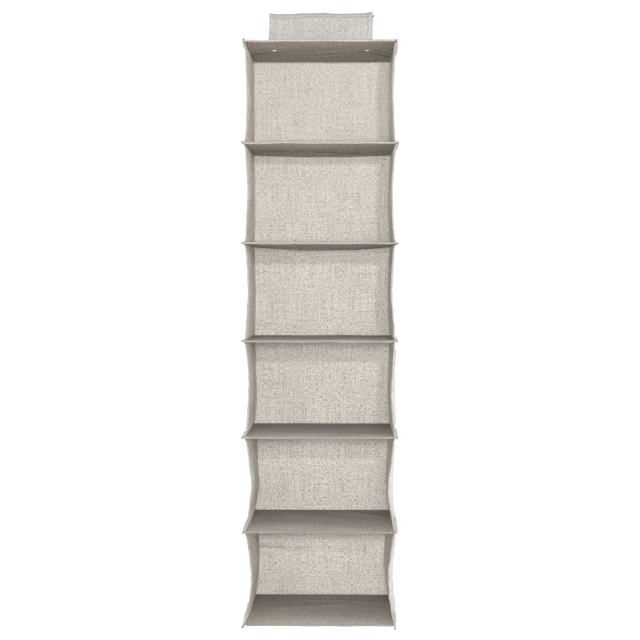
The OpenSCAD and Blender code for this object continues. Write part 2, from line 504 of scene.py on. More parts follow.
def pulp_board(name):
    """Grey-brown stiffener board with fibres and faint corrugation."""
    g = material_graph(name)
    place = g.node("ShaderNodeTexCoord").outputs["Object"]
    fibres = g.patches(place, 9 * MM, 1.2 * MM, detail=4.0)
    flutes = g.node("ShaderNodeTexWave", {"Vector": place, "Scale": 1 / (14 * MM), "Distortion": 0.4})
    tone = g.ramp(fibres, [(0.3, (0.24, 0.17, 0.11)), (0.7, (0.42, 0.32, 0.22))])
    height = g.math("ADD", fibres, g.math("MULTIPLY", flutes.outputs["Fac"], 0.5))
    return g.surface(tone, height, 0.3, 0.3 * MM, {"Roughness": 0.85})


CLOTH = linen("linen_wall", tone=1.08, contrast=0.8, sheen=0.25, tint=(1.0, 0.995, 0.985))
# The strap: a finer cloth, its tone also lowered as painted shade
CLOTH_STRAP = linen("linen_strap", tone=0.71, contrast=1.15, sheen=0.05, tint=(0.995, 1.0, 1.025))
# Shelf tops and the upper panels' visible undersides: a darker, finer cloth, its tone kept low also as painted
# shade for faces lit at a grazing angle
CLOTH_SHELF = linen("linen_shelf", tone=0.66, contrast=1.4, relief=0.3, sheen=0.0, grain=1.5,
                    painted_shade_by_depth=(0.67, 1.6), tint=(1.03, 0.99, 0.985))
CLOTH_UNDER = linen("linen_under", tone=0.655, contrast=2.2, relief=0.3, sheen=0.0, grain=1.7,
                    tint=(1.04, 0.985, 0.95))
CLOTH_EDGE = linen("linen_edge", tone=0.60, contrast=0.8, sheen=0.0)
# Painted light: brightness of each panel's front nose, from the top, darker lower down where less light falls
NOSE_PAINTED_LIGHT = (0.66, 0.60, 0.56, 0.50, 0.48, 0.44, 0.46)
CLOTH_NOSE = [linen(f"linen_nose_{i}", tone=t, contrast=0.9, sheen=0.0) for i, t in enumerate(NOSE_PAINTED_LIGHT)]
# Painted light: brightness of the inner face of each compartment's side walls, left and right, from the top;
# brighter high up and on the right wall of the upper compartments, where more light falls
INNER_PAINTED_LIGHT = [(1.25, 1.50), (1.20, 1.36), (1.13, 1.13), (1.08, 1.08), (1.06, 1.06), (1.00, 1.00)]
CLOTH_INNER_PAINTED_LIGHT = [[linen(f"linen_inner_{name}_{i + 1}", tone=t, contrast=1.05, sheen=0.2,
                      tint=(1.02, 0.99, 0.96)) for name, t in zip(SIDE_NAMES.values(), tones)]
               for i, tones in enumerate(INNER_PAINTED_LIGHT)]
# Brightness and contrast of each back wall's cloth, from the top; the brightness is painted light, raised lower
# down where less light falls
BACK_PAINTED_LIGHT_AND_CONTRAST = [(1.02, 1.35), (1.02, 1.6), (1.02, 1.75), (1.03, 1.9), (1.07, 1.95), (1.15, 1.75)]
BACK_CLOTH = [linen(f"linen_back_{i + 1}", tone=t, contrast=c, sheen=0.05)
              for i, (t, c) in enumerate(BACK_PAINTED_LIGHT_AND_CONTRAST)]
CUT_END = linen("linen_cut_end", tone=0.30, sheen=0.0)
THREAD = twisted_thread("seam_thread", (0.47, 0.44, 0.395))
DARK_THREAD = twisted_thread("dark_thread", (0.13, 0.10, 0.08))
TACK_THREAD = twisted_thread("tack_thread", (1.0, 1.0, 0.98))
HOOK = tape_pile("hook_pile", (0.72, 0.70, 0.66), 1.1 * MM, 0.6 * MM, 0.45)
LOOP = tape_pile("loop_pile", (0.78, 0.76, 0.72), 0.7 * MM, 0.4 * MM, 0.85)
BOARD = pulp_board("pulp_board")

# ---- shelves ----

SLIT_T = BOARD_T + 0.2 * MM
# Fold lines on the underside of a panel: start, end, width and height in mm
CREASES = {
    0: [((-146, 18), (-96, -44), 7.0, 2.2), ((148, 70), (104, -32), 8.0, 2.6),
        ((-60, 26), (104, -38), 7.0, 1.8), ((-30, 70), (60, 30), 12.0, 1.6),
        ((90, 126), (149, 104), 10.0, 2.0), ((-120, 100), (-20, 90), 14.0, 1.4)],
    1: [((-142, -4), (-54, 14), 7.0, 3.0), ((-10, 16), (84, 26), 8.0, 4.0),
        ((-60, 66), (70, 80), 12.0, 2.2), ((80, 46), (148, 8), 9.0, 2.6)],
    2: [((-130, 40), (40, 80), 14.0, 2.4), ((20, 20), (140, 50), 12.0, 2.0)],
}
# Painted shade lines on the underside of a panel, dark where its folds shade the cloth: start, end, width in mm
# and strength
PAINTED_SHADE_LINES = {
    0: [((-146, 30), (-98, -30), 4.0, 1.0), ((103, -20), (149, 78), 4.0, 1.0),
        ((-48, 27), (40, 6), 4.4, 1.0), ((30, 8), (98, -18), 4.0, 0.9),
        ((96, 118), (149, 96), 6.0, 0.5), ((112, -30), (149, 20), 3.5, 0.7)],
    1: [((-142, -2), (-64, 4), 4.6, 1.0), ((-50, 6), (80, 20), 4.8, 1.0),
        ((84, 40), (146, 4), 4.5, 0.5)],
    2: [((20, 14), (120, 40), 7.0, 0.4)],
}
# The same painted shade lines on the upper side, and the soft folds beside them
PAINTED_SHADE_LINES_ABOVE = {
    4: [((-120, 70), (-10, 104), 8.0, 0.25)],
    5: [((62, 112), (150, 58), 12.0, 0.45), ((20, 40), (120, 20), 9.0, 0.2),
        ((-90, 124), (40, 130), 7.0, 0.3)],
    6: [((-30, 96), (146, 78), 8.0, 0.22), ((-110, 20), (60, 52), 10.0, 0.12)],
}
FOLDS_ABOVE = {
    4: [((-110, 60), (0, 92), 14.0, 1.4)],
    5: [((64, 94), (148, 38), 15.0, 3.0), ((-60, 60), (60, 20), 20.0, 1.6)],
    6: [((-30, 82), (146, 62), 14.0, 2.0), ((-110, 6), (60, 38), 18.0, 1.4)],
}
# How far the lower cloth of each panel hangs at the back, and at which X it hangs most, in mm
SLACK = [(0.6, 0.0), (3.6, 30.0), (6.2, 38.0), (3.0, 10.0), (2.0, 0.0), (0.7, -20.0), (0.4, 0.0)]
# How far the front ends of the fins turn up, left and right, in mm
FIN_LIFT = [(4.4, 1.4), (2.2, 0.4), (0.6, -0.6), (0.3, 0.2), (0.2, -0.6), (-1.0, -1.0), (-5.5, -8.0)]
# How far the front ends of the fins fall short of their full width, left and right, in mm
FIN_SHORT = [(4.0, 4.6), (1.6, 0.8), (0.0, 2.0), (0.6, 3.4), (0.0, 3.4), (2.2, 4.2), (0.0, 6.0)]
# Radius of the front corners of each panel, in mm
FRONT_CORNER = [0.0, 0.0, 0.0, 0.0, 0.0, 0.0, 9.0]
NOSE_R = 1.7 * MM
FLATTEST = -0.45 * MM         # the cloth lies no deeper than this, on its board
FIN_T = 1.7 * MM              # all plies of a fin together
STITCH_OUT = 1.9 * MM         # a fin's seam runs this far out from the wall
OVERLOCK_PITCH = 2.6 * MM
OVERLOCK_BITE = 3.2 * MM


def marks(table, level, x, y):
    """The sum of a panel's fold lines from a table, in the unit of their strength."""
    return sum(much * ridge(x / MM, y / MM, a, b, wide) for a, b, wide, much in table.get(level, []))


def panel_offsets(level, x, y, upper):
    """How far the upper or lower cloth stands off its flat face, outwards."""
    px, py = x / HALF_W, (y - FRONT_Y) / DEPTH
    inside = (1 - px ** 4) * smooth(py * 6) * smooth((1 - py) * 8 + 0.25)
    seed = 100 + 10 * level + (1 if upper else 0)
    puff = two_ripples(seed, x, y, (0.5, 0.12), (0.14, 0.035), 50)
    if upper:
        return np.maximum((0.35 * MM + puff + marks(FOLDS_ABOVE, level, x, y) * MM) * inside, FLATTEST)
    amount, middle = SLACK[level]
    reach = HALF_W + np.where(x > middle * MM, -middle, middle) * MM
    lean = (x - middle * MM) / reach
    hang = amount * MM * (1 - np.abs(lean) ** 2.2) * smooth(py * 1.15)
    hang = hang * smooth((BACK_Y - 3 * MM - y) / (2.5 * MM))
    gathers = 0.5 * MM * ripples(seed + 80, x * 0.25, y, 0.02) * smooth((py - 0.7) * 5) * (level > 0)
    folds = marks(CREASES, level, x, y) * MM
    return np.maximum(hang + (0.3 * MM + puff + gathers + folds) * inside, FLATTEST)


def panel_cloth(build, level):
    """The cloth sleeve of a panel: one closed tube round the board, with its slit at the back."""
    z0 = PANEL_Z[level]
    half = PANEL_T / 2
    slit_y = BOARD_END_Y - 1.5 * MM
    turn = np.linspace(math.pi / 2, 3 * math.pi / 2, 9)
    run = np.linspace(FRONT_Y + NOSE_R, BACK_Y - 7.5 * MM, 58)
    run = np.concatenate([run, BACK_Y - np.array([5.5, 4.8, 4.2, 3.6, 3.0, 1.8, 0.6]) * MM])
    profile = [(y, half, 1) for y in run[::-1]]
    profile += [(FRONT_Y + NOSE_R * (1 + math.cos(a)), half * math.sin(a), 0) for a in turn[1:-1]]
    profile += [(y, -half, -1) for y in run]
    lip = SLIT_T / 2
    profile += [(BACK_Y, -(half + lip) / 2, 0), (BACK_Y - 0.6 * MM, -lip, 0), (slit_y, -lip, 0),
                (slit_y, lip, 0), (BACK_Y - 0.6 * MM, lip, 0), (BACK_Y, (half + lip) / 2, 0)]
    ys, zs, kinds = (np.array(c, float) for c in zip(*profile))
    xs = np.linspace(-HALF_W, HALF_W, 110)
    X, Y = np.meshgrid(xs, ys, indexing="ij")
    Z = np.broadcast_to(z0 + zs, X.shape).copy()
    Z += np.where(kinds > 0, panel_offsets(level, X, Y, True), 0)
    Z -= np.where(kinds < 0, panel_offsets(level, X, Y, False), 0)
    Z += 0.35 * MM * ripples(300 + level, X, X * 0, 0.09) * bell(Y - FRONT_Y, 8 * MM)
    corner = FRONT_CORNER[level] * MM
    if corner:
        past = np.clip((np.abs(X) - HALF_W + corner) / corner, 0, 0.96)
        Y = Y + corner * (1 - np.sqrt(1 - past ** 2)) * np.exp(-(Y - FRONT_Y) / (25 * MM))
    rows, cols = X.shape
    around = run_along(np.stack([ys, zs], 1))
    weave = np.stack([X + 0.37 * level, np.broadcast_to(around, X.shape)], -1)
    points = np.stack([X, Y, Z], -1)
    # Painted shade along the folds on both faces of the panel's cloth
    painted_shade_and_dark_ends = X * 0 + marks(PAINTED_SHADE_LINES, level, X, Y) * (kinds == -1)
    painted_shade_and_dark_ends += marks(PAINTED_SHADE_LINES_ABOVE, level, X, Y) * (kinds == 1)
    faces = tube_faces(rows, cols)
    on_nose = np.tile(ys < FRONT_Y + NOSE_R + 0.2 * MM, rows).tolist()
    below = np.tile(kinds < 0, rows).tolist()
    build.add(points, weave, faces, face_slots(faces, (on_nose, 3), (below, 4)), painted_shade_and_dark_ends)


def fin_surface(level, side, u, y):
    """Middle surface of a seam allowance at distance u out from the wall."""
    share = u / FIN_W
    front = np.exp(-((y - FRONT_Y) / (30 * MM)))
    seed = 400 + 2 * level + (side > 0)
    wave = two_ripples(seed, y, y * 0, (0.7, 0.09), (0.2, 0.03), 30)
    tip = FIN_LIFT[level][side > 0] * MM
    lift = tip * (0.25 + 0.75 * front) + wave * (1 - front)
    curl = 0.4 * MM * ripples(seed + 60, y, y * 0, 0.08)
    reach = np.sqrt(np.maximum(1 - (lift / (FIN_W + 3 * MM)) ** 2, 0.1))
    short = FIN_SHORT[level][side > 0] * MM / FIN_W
    reach = reach * (1 - short * (front + 0.4 * (level > 5) * (1 - front)))
    x = side * (HALF_W - 0.8 * MM + (u + curl * share ** 2) * reach)
    z = PANEL_Z[level] + lift * share ** 1.2
    back = 0.6 * FRONT_CORNER[level] * MM * np.exp(-(y - FRONT_Y) / (25 * MM)) * (1 - share)
    return np.stack([x, y + back, z], -1)


def seam_fins(build, level, side):
    """The seam allowance beside a panel: plies laid flat together and overlocked along their rim."""
    us = edge_spaced(0.0, FIN_W + 0.8 * MM, 6, 0.9 * MM)
    ys = edge_spaced(FRONT_Y - 0.3 * MM, BACK_Y, 92, 1.2 * MM)
    Y, U = np.meshgrid(ys, us, indexing="ij")
    middle = fin_surface(level, side, U, Y)
    rim = np.minimum(np.minimum(us[-1] - U, Y - ys[0]), ys[-1] - Y)
    nub = bell(Y - FRONT_Y, 3.2 * MM) * smooth((U - 0.35 * FIN_W) / (0.3 * FIN_W))
    swell = 1 + 0.12 * ripples(490 + level, U, Y, 0.02) + 0.75 * nub
    thick = FIN_T * swell * rounded(np.maximum(rim, 0), 0.9 * MM)
    weave = np.stack([U + 0.11 * level, Y], -1)
    raw = 0.9 * bell(Y - FRONT_Y, 3.0 * MM) * smooth(U / (0.5 * FIN_W))
    outward = np.s_[:, ::side]
    add_sheet(build, middle[outward], thick[outward], weave[outward], 5, raw[outward])
    column = surface_normals(middle)[:, 3]
    column = column * np.sign(column[:, 2:])
    count = int(DEPTH / OVERLOCK_PITCH)
    at = FRONT_Y + (np.arange(count) + 0.5) * OVERLOCK_PITCH
    inner = fin_surface(level, side, np.full(count, FIN_W - OVERLOCK_BITE), at)
    rim_point = fin_surface(level, side, np.full(count, FIN_W + 0.6 * MM), at + 0.9 * MM)
    line = fin_surface(level, side, np.full(len(ys), STITCH_OUT), ys)
    for face in (1, -1):
        rise = np.array([0, 0, face * FIN_T / 2])
        lift = np.tile([0, 0, face * 0.35 * MM], (count, 1))
        add_threads(build, inner + rise, rim_point + 0.45 * rise, lift, 0.22 * MM, 1)
        stitch_row(build, line + face * column * FIN_T / 2, face * column, 1)
    cut_end(build, level, side)


def cut_end(build, level, side):
    """The raw front end of a fin: the flat plies end in a darker, slightly rolled nub."""
    us = np.linspace(0.42 * FIN_W, FIN_W + 1.0 * MM, 9)
    spine = fin_surface(level, side, us, np.full(len(us), FRONT_Y + 0.4 * MM))
    grow = np.sqrt(np.clip(1 - ((us - us.mean()) / (us[-1] - us.mean())) ** 4, 0.02, 1))
    out, across = np.array([0, 1.5 * MM, 0]), np.array([0, 0, 1.35 * MM])
    points = tube_points(spine, grow[:, None], out, across, 12)
    build.add(points, points[:, [0, 2]], tube_faces(len(us), 12, flip=side < 0), 2)


def make_panel(level):
    build = Build()
    panel_cloth(build, level)
    for side in (LEFT, RIGHT):
        seam_fins(build, level, side)
    name = PANELS[level]
    # Painted shade: the shelves' upper faces and the upper panels' undersides take the darker cloth
    above = CLOTH if level == 0 else CLOTH_SHELF
    below = CLOTH_UNDER if level < 4 else CLOTH
    obj = build.piece(f"{name}_linen", [above, THREAD, CUT_END, CLOTH_NOSE[level], below, CLOTH])
    fasten(obj, name, "linen_cloth", COVERS[level])
    for slot in frame["nodes"][f"{name}_board"].material_slots:
        slot.material = BOARD


# ---- walls ----


def wall_span(level):
    """Lower and upper end of the cloth of a compartment's walls, just inside its seams."""
    return PANEL_Z[level + 1] + PANEL_T / 2, PANEL_Z[level] - PANEL_T / 2


def height_share(level, z):
    """Height on a wall: -1 at its foot, 0 at its middle and 1 at its top."""
    bottom, top = wall_span(level)
    return (z - (top + bottom) / 2) / ((top - bottom) / 2)


# How far the rear corners are drawn in under each panel, left and right, in mm
REAR_PULL = [(0.0, 0.0), (0.5, 0.0), (1.2, 1.0), (2.6, 1.0), (4.6, 3.0), (9.4, 8.0)]
# How far they are pinched in just below mid-height, left and right, in mm
REAR_PINCH = [(0.0, 0.0), (0.0, 0.0), (0.4, 0.0), (2.8, 0.8), (5.0, 2.2), (0.5, 2.4)]
# How far the front of the right walls stands inside the panels' width, in mm
RIGHT_NARROW = [0.0, 0.5, 1.0, 0.0, 3.5, 3.5]
# How far the rear of the right walls bellies out, in mm
RIGHT_BELLY = [0, 0, 1.5, 11.0, 10.0, 13.0]
FLARE = 4.2 * MM              # the walls spread out by this where they meet a panel
# Share of a compartment's sag that its walls take, left and right
SAG_SHARE = [(0.9, 1.0), (0.9, 1.0), (0.9, 1.0), (0.9, 0.8), (1.45, 1.0), (1.1, 1.0)]


def wall_inset(level, side, s, depth):
    """How far a side wall is pulled in, at a height share s and a depth from 0 in front to 1."""
    sag = sag_of(level) * SAG_SHARE[level][side > 0]
    sharp = min(1.0, 0.12 + 0.3 * level)
    arc = 1 - s * s
    fold = 1 - np.abs(s) ** 1.05
    eased = 0.7 if side == LEFT else 0.4
    narrow = RIGHT_NARROW[level] * MM * (side == RIGHT) * (1 - np.abs(s) ** 1.6) * (1 - depth) ** 1.5
    pull = REAR_PULL[level][side > 0] * MM * (1 - np.abs(s) ** 10) * (0.45 + 0.55 * (s + 1) / 2)
    pinch = REAR_PINCH[level][side > 0] * MM * bell(s + 0.36, 0.24) * (1 - s ** 8)
    rear = (pull + pinch) * smooth(depth * 1.1)
    kept = 1 - eased * depth ** (1.8 if side == LEFT else 1.0)
    return sag * ((1 - sharp) * arc + sharp * fold) * kept + rear + narrow


def side_middle(level, side, Y, Z):
    """Middle surface of a side wall before its cloth settles."""
    bottom, top = wall_span(level)
    s = height_share(level, Z)
    depth = (Y - FRONT_Y) / DEPTH
    held = (1 - s ** 4) * (1 - 0.75 * smooth((depth - 0.75) * 4))
    seed = 600 + 20 * level + (7 if side > 0 else 0)
    soft = two_ripples(seed, Y, Z, (0.9, 0.12), (0.35, 0.035))
    inset = wall_inset(level, side, s, depth)
    crease = 0.5 * MM * bell(s, 0.035) * (level > 1)
    nub = bell(s, 0.06) * bell(Y - FRONT_Y, 11 * MM) * (0.4 + 0.42 * level) * MM
    x = side * (HALF_W - WALL_T / 2 - inset - soft * held - crease + nub)
    belly = RIGHT_BELLY[level] * MM * (side > 0) * smooth((1 - np.abs(s)) * 4)
    belly = belly * smooth((depth - 0.02) * 3.5) * smooth((1 - depth) * 1.6)
    flare = FLARE * (0.35 + 0.65 * np.exp(-depth * 6)) * smooth((1 - depth) * 12)
    edge = (top - bottom) / 2 * (1 - np.abs(s))
    flare = flare * np.exp(-edge / (4.5 * MM)) * np.where(s > 0, 1.0 - 0.14 * level, 0.5 + 0.1 * level)
    flare = flare * (0.2 if side > 0 and level > 2 else 1.0)
    x = x + side * (belly + flare)
    bow = 1.6 * MM * (1 - s * s) * np.exp(-depth * 12)
    reach = 1.1 * MM * np.exp(-edge / (2 * MM)) * np.sign(s)
    return np.stack([x, Y + bow, Z + reach], -1)


# Sharp folds in the back walls: start, end (X and height over the foot), width in mm, and strength of the painted
# shade in each fold
BACK_CREASES = {
    0: [((60, 112), (92, 110), 1.2, 0.5)],
    5: [((-143, 108), (-88, 106), 1.5, 0.75), ((-92, 106), (-30, 104), 1.5, 0.3),
        ((97, 112), (94, 88), 1.5, 0.6), ((-20, 70), (30, 74), 2.5, 0.2)],
}


def back_middle(level, share, zs):
    """Middle surface of a back wall before its cloth settles, at shares of its width and heights zs."""
    s = height_share(level, zs)
    left = -HALF_W + wall_inset(level, LEFT, s, 1.0) + 0.2 * MM
    right = HALF_W - wall_inset(level, RIGHT, s, 1.0) - 0.2 * MM
    X = left[None, :] + (right - left)[None, :] * share[:, None]
    Z = np.broadcast_to(zs, X.shape)
    S = np.broadcast_to(s, X.shape)
    off = np.abs(2 * share[:, None] - 1)
    held = (1 - S ** 6) * (1 - off ** 8)
    seed = 800 + 11 * level
    soft = two_ripples(seed, X, Z, (1.0, 0.15), (0.3, 0.05))
    gathers = 0.35 * MM * ripples(seed + 2, X, Z * 0.12, 0.014) * bell(1 - S, 0.5) * (0.4 + 0.15 * level)
    crease = 0.8 * MM * bell(S, 0.03) * (0.3 + 0.14 * level) * (0.35 + 0.65 * smooth((off - 0.45) * 3))
    y = BACK_Y - WALL_T / 2 + (soft - crease) * held - 0.8 * MM + gathers
    return np.stack([X, y, Z], -1)


SIDE_END_Y = BACK_Y - WALL_T * 0.6
SIM_POINTS = 30               # along each side of a wall's coarse grid
SIM_FRAMES = 26
SLACK_UP, SLACK_ALONG = 1.022, 1.014
LONGEST_MOVE = 6 * MM
CLOTH_SETTINGS = {
    "quality": 8, "mass": 0.3, "tension_stiffness": 25, "compression_stiffness": 25,
    "shear_stiffness": 10, "bending_stiffness": 0.8, "tension_damping": 25,
    "compression_damping": 25, "shear_damping": 25, "bending_damping": 1.0,
    "air_damping": 4.0, "vertex_group_mass": "sewn",
}


def simulate(points, flat, sewn, quads):
    """Let all walls settle at once: cloth cut flat and a little too large, sewn along its seams."""
    scene = bpy.context.scene
    mesh = bpy.data.meshes.new("loose_walls")
    mesh.from_pydata(points.tolist(), [], quads)
    obj = place_object("loose_walls", mesh)
    obj.shape_key_add(name="Basis")
    cut = obj.shape_key_add(name="cut")
    cut.data.foreach_set("co", flat.ravel())
    obj.vertex_groups.new(name="sewn").add(sewn, 1.0, "REPLACE")
    cloth = obj.modifiers.new("cloth", "CLOTH")
    for key, value in CLOTH_SETTINGS.items():
        setattr(cloth.settings, key, value)
    cloth.settings.rest_shape_key = cut
    cloth.collision_settings.use_collision = False
    cloth.point_cache.frame_start, cloth.point_cache.frame_end = 1, SIM_FRAMES
    for frame_number in range(1, SIM_FRAMES + 1):
        scene.frame_set(frame_number)
    settled = obj.evaluated_get(bpy.context.evaluated_depsgraph_get()).to_mesh()
    result = np.zeros(len(points) * 3)
    settled.vertices.foreach_get("co", result)
    bpy.data.objects.remove(obj)
    bpy.data.meshes.remove(mesh)
    scene.frame_set(1)
    return result.reshape(-1, 3)


def settle_walls():
    share = np.linspace(0, 1, SIM_POINTS)
    border = np.zeros((SIM_POINTS, SIM_POINTS), bool)
    border[:, [0, -1]] = border[-1] = True
    walls = {}
    for level in range(6):
        bottom, top = wall_span(level)
        zs = bottom + (top - bottom) * share
        Y, Z = np.meshgrid(FRONT_Y + (SIDE_END_Y - FRONT_Y) * share, zs, indexing="ij")
        along, up = Y * SLACK_ALONG, Z * SLACK_UP
        for side in (LEFT, RIGHT):
            walls[level, side] = side_middle(level, side, Y, Z), np.stack([Y * 0, along, up], -1), border
        flat_back = np.stack([along, Y * 0, up], -1)
        walls[level, 0] = back_middle(level, share, zs), flat_back, border | border[::-1]
    start, flat, sewn = (np.stack(part) for part in zip(*walls.values()))
    faces = []
    for k in range(len(walls)):
        faces += grid_faces(SIM_POINTS, SIM_POINTS, start=k * SIM_POINTS ** 2)
    ends = simulate(start.reshape(-1, 3), flat, np.flatnonzero(sewn).tolist(), faces)
    moved = ends.reshape(start.shape) - start
    length = np.linalg.norm(moved, axis=-1, keepdims=True)
    return dict(zip(walls, moved * (LONGEST_MOVE / (LONGEST_MOVE + length))))


def cubic_weights(share):
    """Weights of the coarse grid's points for positions from 0 to 1 along one side."""
    place = np.clip(share, 0, 1) * (SIM_POINTS - 1)
    cell = np.clip(np.floor(place), 0, SIM_POINTS - 2).astype(int)
    t = place - cell
    weights = np.zeros((len(share), SIM_POINTS))
    for step, part in ((-1, -0.5 * t + t ** 2 - 0.5 * t ** 3), (0, 1 - 2.5 * t ** 2 + 1.5 * t ** 3),
                       (1, 0.5 * t + 2 * t ** 2 - 1.5 * t ** 3), (2, -0.5 * t ** 2 + 0.5 * t ** 3)):
        np.add.at(weights, (np.arange(len(share)), np.clip(cell + step, 0, SIM_POINTS - 1)), part)
    return weights


def settled(level, side, along, up):
    """The simulated move of a wall at shares along its width and its height."""
    if (level, side) not in SETTLED:
        return 0.0
    return np.einsum("ia,jb,abk->ijk", cubic_weights(along), cubic_weights(up), SETTLED[level, side])


def make_side(level, side):
    """A side wall: one sheet with a doubled hem in front, sewn to its panels and to the back wall."""
    bottom, top = wall_span(level)
    ys = edge_spaced(FRONT_Y, SIDE_END_Y, 76, 1.3 * MM)
    ys = np.sort(np.concatenate([ys, FRONT_Y + HEM_W + np.array([-0.5, 0, 0.5]) * MM]))
    zs = edge_spaced(bottom, top, 76, 9 * MM)
    Y, Z = np.meshgrid(ys, zs, indexing="ij")
    depth = (ys - FRONT_Y) / (SIDE_END_Y - FRONT_Y)
    held = smooth(depth * 5)[:, None, None]
    moved = settled(level, side, depth, (zs - bottom) / (top - bottom))
    middle = side_middle(level, side, Y, Z) + held * moved
    hem = 1 - smooth((Y - FRONT_Y - HEM_W + 0.6 * MM) / (1.2 * MM))
    hem = hem * (1 + 0.15 * ripples(700 + level + 9 * side, Y, Z, 0.02))
    thick = (WALL_T + (HEM_T - WALL_T) * hem) * rounded(Y - FRONT_Y, 1.2 * MM)
    weave = np.stack([Y + 0.53 * level + (1.7 if side > 0 else 0), Z], -1)
    build = Build()
    # Painted shade: darker along the seams at the top and foot, along the rear corner and, lower down, along the
    # middle fold
    seam = np.minimum(np.abs(Z - top), 3 * np.abs(Z - bottom)) / ((3.6 if level < 2 else 2.4) * MM)
    painted_shade_and_dark_ends = 0.9 * bell(seam, 1) + 0.5 * bell(BACK_Y - Y, 3 * MM)
    painted_shade_and_dark_ends = painted_shade_and_dark_ends + 0.3 * (level > 1) * bell(Z - (top + bottom) / 2, 1.6 * MM)
    outer, inner = add_sheet(build, middle, thick, weave, 0, painted_shade_and_dark_ends)
    rim = np.tile(Y.ravel() < FRONT_Y + 1.5 * MM, 2).tolist()
    inside = np.repeat([side < 0, side > 0], Y.size).tolist()
    build.slots = face_slots(build.faces, (rim, 2), (inside, 3))
    stitch_both(build, outer, inner, nearest(ys, FRONT_Y + HEM_W - 1.8 * MM))
    name = f"{SIDE_NAMES[side]}_side_{level + 1}"
    # The inner face takes a copy of the cloth brightened or darkened as painted light
    cloths = [CLOTH, THREAD, CLOTH_EDGE, CLOTH_INNER_PAINTED_LIGHT[level][side > 0]]
    hang(build.piece(f"{name}_linen", cloths), level, name)


def thread_knot(build, middle, x, z):
    """A small dark knot of thread on the inside of a back wall."""
    spot = np.array([x, 0, z])
    near = np.argmin(np.linalg.norm(middle[..., [0, 2]] - spot[[0, 2]], axis=2))
    spot[1] = middle.reshape(-1, 3)[near][1] - WALL_T / 2 - 0.4 * MM
    for slope in (-0.9, 0.6):
        reach = np.array([2.0 * MM, 0, slope * MM])
        lift = [[0, -1.8 * MM, 0]]
        add_threads(build, [spot - reach], [spot + reach], lift, 1.1 * MM, 1, sides=7, rings=7)


def make_back(level):
    """A back wall: one plain sheet."""
    bottom, top = wall_span(level)
    share = np.linspace(0, 1, 92)
    zs = np.linspace(bottom, top, 76)
    middle = back_middle(level, share, zs) + settled(level, 0, share, (zs - bottom) / (top - bottom))
    X, Z = middle[..., 0], middle[..., 2]
    # Painted shade: darker just under the panel above and in the sharp folds
    painted_shade_and_dark_ends = 0.5 * bell(top - Z, 2 * MM)
    for a, b, wide, much in BACK_CREASES.get(level, []):
        fold = ridge(X / MM, (Z - bottom) / MM, a, b, wide)
        middle[..., 1] += 1.2 * MM * fold
        painted_shade_and_dark_ends = painted_shade_and_dark_ends + much * fold
    weave = np.stack([X + 0.29 * level, Z], -1)
    build = Build()
    add_sheet(build, middle, WALL_T, weave, 0, painted_shade_and_dark_ends)
    if level == 1:
        thread_knot(build, middle, -58.8 * MM, bottom + 11.4 * MM)
    name = f"back_{level + 1}"
    hang(build.piece(f"{name}_linen", [BACK_CLOTH[level], DARK_THREAD]), level, name)


def hang(obj, level, node):
    """A wall hangs from the panel above it, on its own copy of the mesh."""
    fasten(obj, PANELS[level], "linen_cloth", node)
    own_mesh(obj)


# ---- strap ----


LEG_POINTS, ARC_POINTS = 34, 30
FLAP_START = LEG_POINTS + ARC_POINTS - 2
STRAP_HEM = 12 * MM
STITCH_IN = 1.6 * MM          # the hem's seam runs this far from its inner edge
EDGE_STITCH_IN = 1.9 * MM     # and a second one this far from the strap's edge


def leg_point(n, u):
    """Y and Z of a point n out from the rod axis and u down the rear leg."""
    return n * math.cos(LEAN) + u * math.sin(LEAN), n * math.sin(LEAN) - u * math.cos(LEAN)


def leg_length(n, z):
    """Distance down the rear leg at which a line n out from the rod axis reaches a height."""
    return (n * math.sin(LEAN) - z) / math.cos(LEAN)


def strap_path():
    """The strap's middle line from its front foot over the rod to the end of the rear flap."""
    foot = leg_length(STRAP_MID, TOP_Z)
    flap = leg_length(ROD_R, low("strap_flap")[2])
    front_y, front_z = leg_point(STRAP_MID, np.linspace(foot, 0, LEG_POINTS)[:-1])
    rear_y, rear_z = leg_point(STRAP_MID, np.linspace(0, flap, LEG_POINTS)[1:])
    arc = np.linspace(math.pi - LEAN, LEAN, ARC_POINTS)
    ys = np.concatenate([-front_y, STRAP_MID * np.cos(arc), rear_y])
    zs = np.concatenate([front_z, STRAP_MID * np.sin(arc), rear_z])
    return np.stack([ys, zs], 1)


def strap_droop(X, near_top):
    """How far the strap's top sinks between its edges, and how its corners turn up."""
    half = STRAP_W / 2
    drop = 1.0 * MM * (1 - (X / half) ** 2) + 0.35 * MM * ripples(905, X, X * 0, 0.16)
    corner = 1.9 * MM * bell(half - 3 * MM - np.abs(X), 5 * MM) * np.where(X > 0, 1.0, 0.5)
    return (corner - 1.2 * MM * (X < 0) * (X / half) ** 2 - drop) * near_top


def hem_share(distance):
    """1 in a hem of the strap, at a distance from its edge, and 0 past it."""
    return 1 - smooth((distance - STRAP_HEM + 0.5 * MM) / (1.0 * MM))


